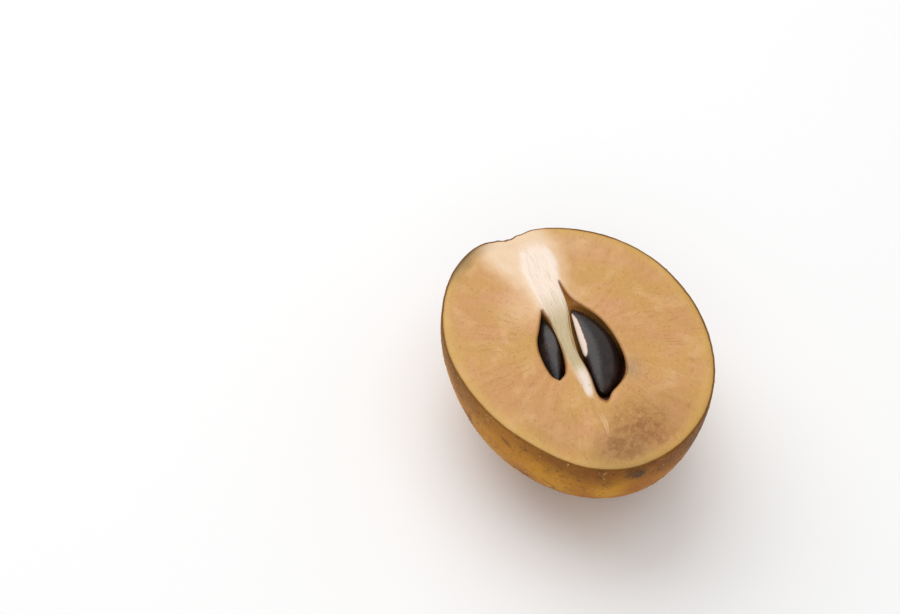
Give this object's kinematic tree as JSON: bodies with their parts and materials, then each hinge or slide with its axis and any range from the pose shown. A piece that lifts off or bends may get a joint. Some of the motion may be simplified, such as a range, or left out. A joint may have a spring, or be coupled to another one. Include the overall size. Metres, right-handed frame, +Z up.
{
  "type": "sapodilla half",
  "caption": "Half of a sapodilla cut lengthwise, lying on its skin, with tan flesh, a pale core and loose glossy black seeds in their pockets.",
  "frame": {"origin": "on the surface the half lies on, under the middle of its bounding box", "axes": "+Z up out of the cut face, +Y from the tip to the stem end, +X to the right of the core seen from above"},
  "size_m": [0.051, 0.0618, 0.028],
  "materials": {
    "flesh_and_skin": "moist tan flesh with a cream core, thin golden-brown scurfy skin",
    "seed": "glossy black seed coat with a long white scar"
  },
  "bodies": {
    "root": {"fruit_half": "flesh_and_skin", "seed_left": "seed", "seed_right": "seed"}
  },
  "joints": []
}
